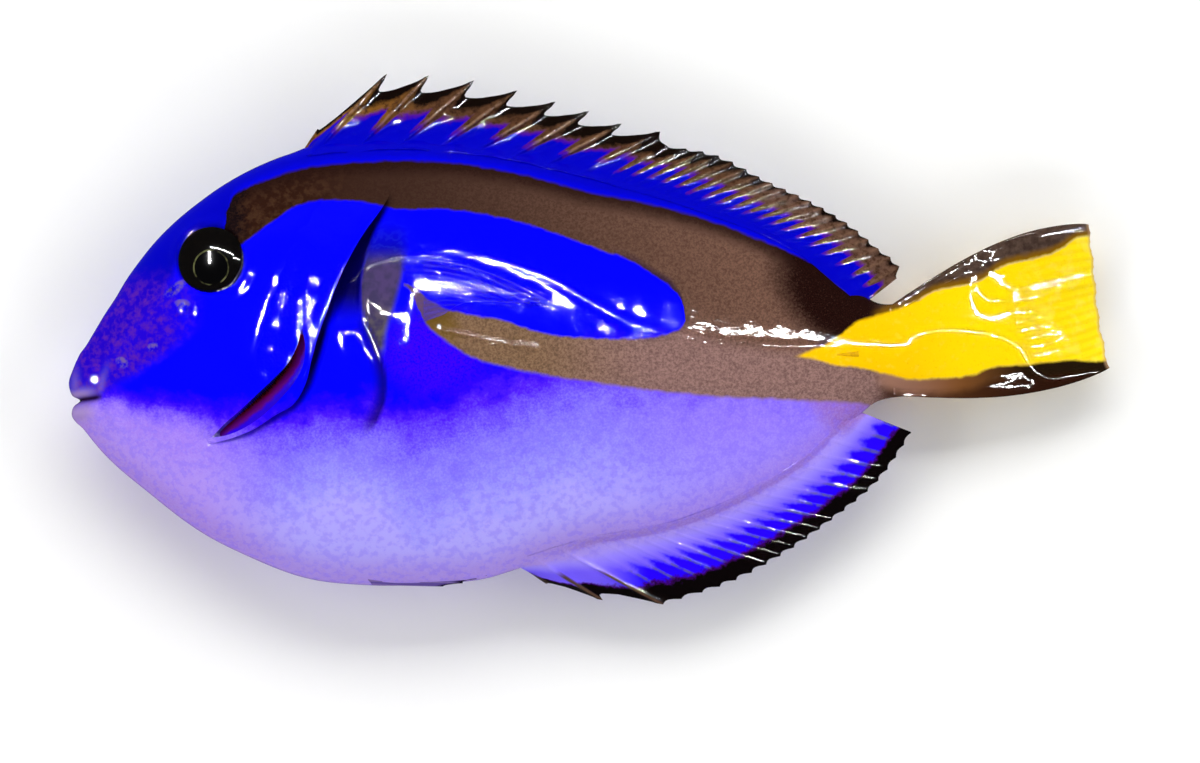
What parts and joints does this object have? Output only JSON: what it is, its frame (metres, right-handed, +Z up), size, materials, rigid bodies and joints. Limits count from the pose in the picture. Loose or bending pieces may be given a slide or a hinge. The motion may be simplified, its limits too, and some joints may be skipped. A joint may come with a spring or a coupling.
{
  "type": "regal blue tang",
  "caption": "Young regal blue tang, a deep, flat reef fish lying on its right side, as a still life-size museum model.",
  "frame": {"origin": "middle of the outline seen from above, on the floor that the fish lies on", "axes": "+X from snout to tail, +Y from belly to back, +Z up, out of the left flank"},
  "size_m": [0.088, 0.046, 0.0127],
  "materials": {
    "blue_skin": "wet gloss",
    "blue_fin": "wet gloss",
    "violet_fin": "wet gloss",
    "yellow_fin": "wet gloss",
    "eye": "polished",
    "gill": "wet gloss",
    "bone": "smooth"
  },
  "bodies": {
    "root": {"head": "blue_skin", "lower_jaw": "blue_skin", "trunk": "blue_skin", "tail_stalk": "blue_skin", "left_gill_cover": "blue_skin", "right_gill_cover": "blue_skin", "left_gills": "gill", "right_gills": "gill", "left_eye": "eye", "right_eye": "eye", "left_pectoral_fin": "blue_fin", "right_pectoral_fin": "blue_fin", "left_pelvic_fin": "violet_fin", "right_pelvic_fin": "violet_fin", "dorsal_fin": "blue_fin", "anal_fin": "violet_fin", "tail_fin": "yellow_fin", "left_tail_spine": "bone", "right_tail_spine": "bone"}
  },
  "joints": []
}
